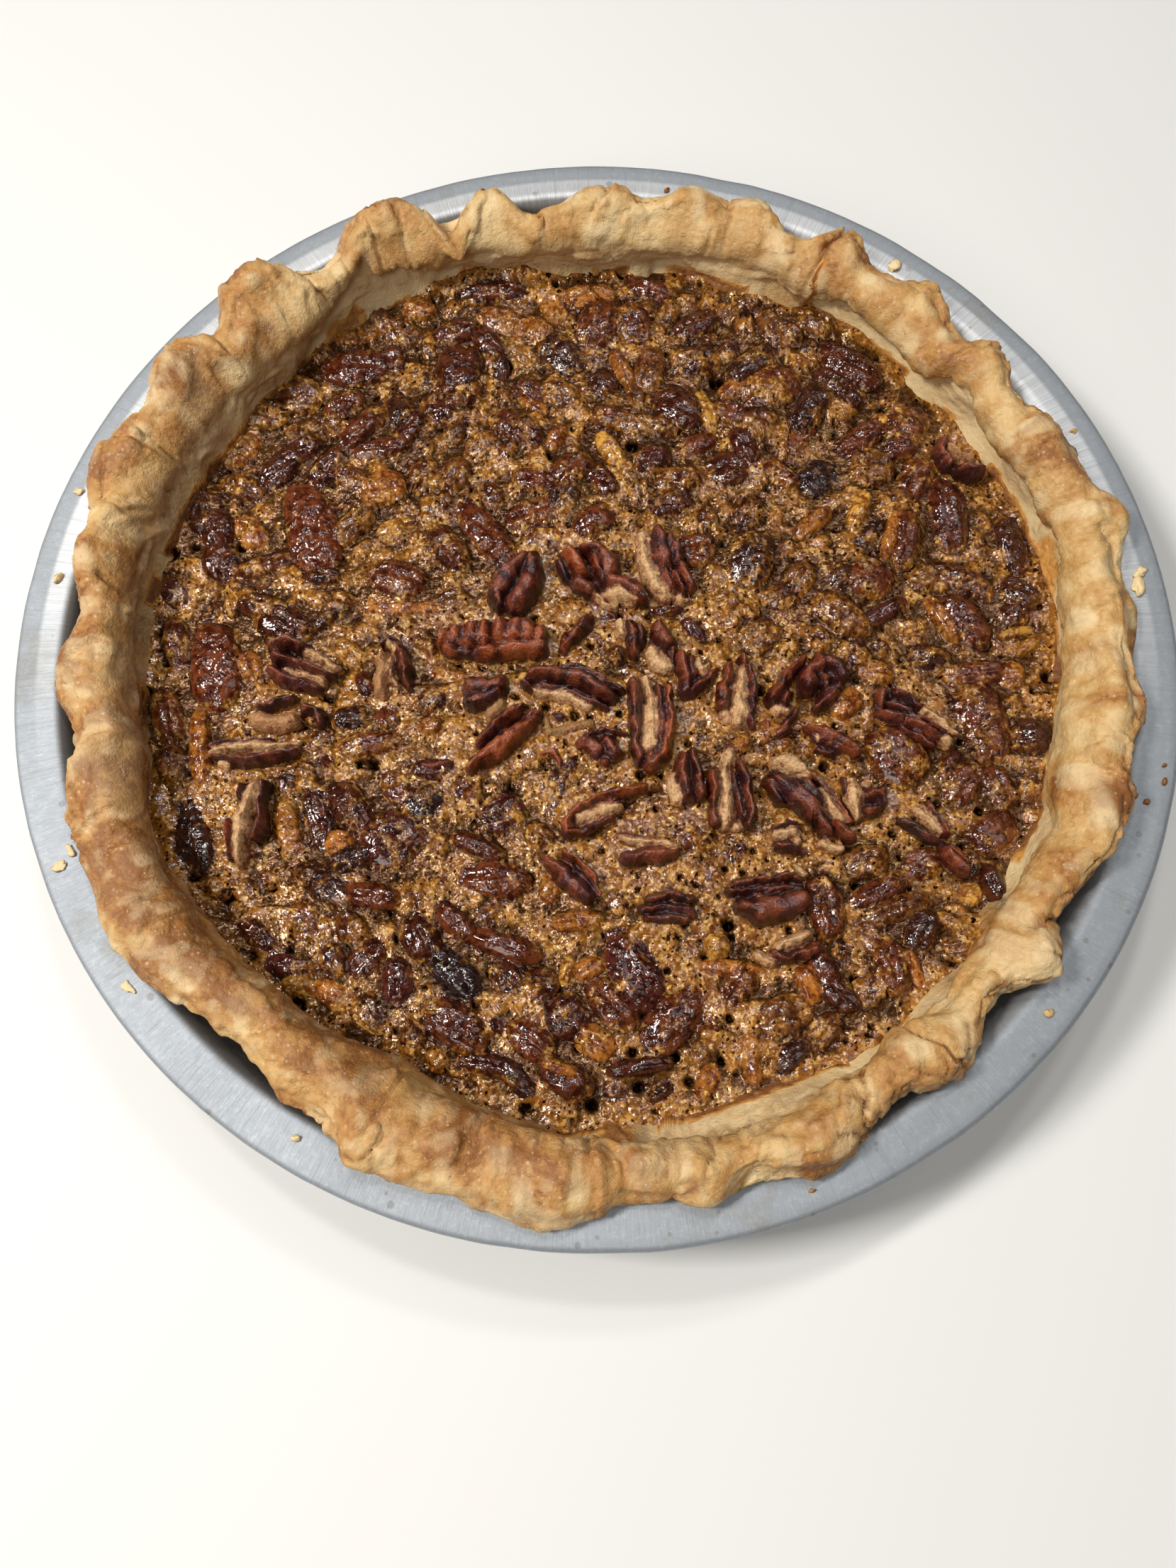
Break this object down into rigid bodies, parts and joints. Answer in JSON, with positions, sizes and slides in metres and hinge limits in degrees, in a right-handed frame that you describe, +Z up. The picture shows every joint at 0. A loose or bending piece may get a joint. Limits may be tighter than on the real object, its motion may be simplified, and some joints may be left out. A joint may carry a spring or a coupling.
{
  "type": "pecan pie in a tin",
  "caption": "Whole round pecan pie with a hand-folded crust rim, set nut filling and loose pecan halves on top, baked in its own flanged aluminium tin.",
  "frame": {"origin": "centre of the tin's flat underside, on the surface the pie stands on", "axes": "+Z up through the pie's middle; +X and +Y lie in the table plane, with +Y away from the viewer"},
  "size_m": [0.254, 0.254, 0.0436],
  "materials": {
    "tin": "brushed spun sheet with fine scratches",
    "crust": "baked pastry, matte, browned on the folds",
    "filling": "baked syrup custard, glossy, with bubbles",
    "pecan": "baked pecan skin, satin"
  },
  "bodies": {
    "root": {"pie_tin": "tin", "crust": "crust", "filling": "filling", "pecan_01": "pecan", "pecan_02": "pecan", "pecan_03": "pecan", "pecan_04": "pecan", "pecan_05": "pecan", "pecan_06": "pecan", "pecan_07": "pecan", "pecan_08": "pecan", "pecan_09": "pecan", "pecan_10": "pecan", "pecan_11": "pecan", "pecan_12": "pecan", "pecan_13": "pecan", "pecan_14": "pecan", "pecan_15": "pecan", "pecan_16": "pecan", "pecan_17": "pecan", "pecan_18": "pecan", "pecan_19": "pecan", "pecan_20": "pecan", "pecan_21": "pecan", "pecan_22": "pecan", "pecan_23": "pecan", "pecan_24": "pecan", "pecan_25": "pecan", "pecan_26": "pecan", "pecan_27": "pecan", "pecan_28": "pecan", "pecan_29": "pecan", "pecan_30": "pecan", "pecan_31": "pecan", "pecan_32": "pecan", "pecan_33": "pecan", "pecan_34": "pecan", "pecan_35": "pecan", "pecan_36": "pecan"}
  },
  "joints": []
}
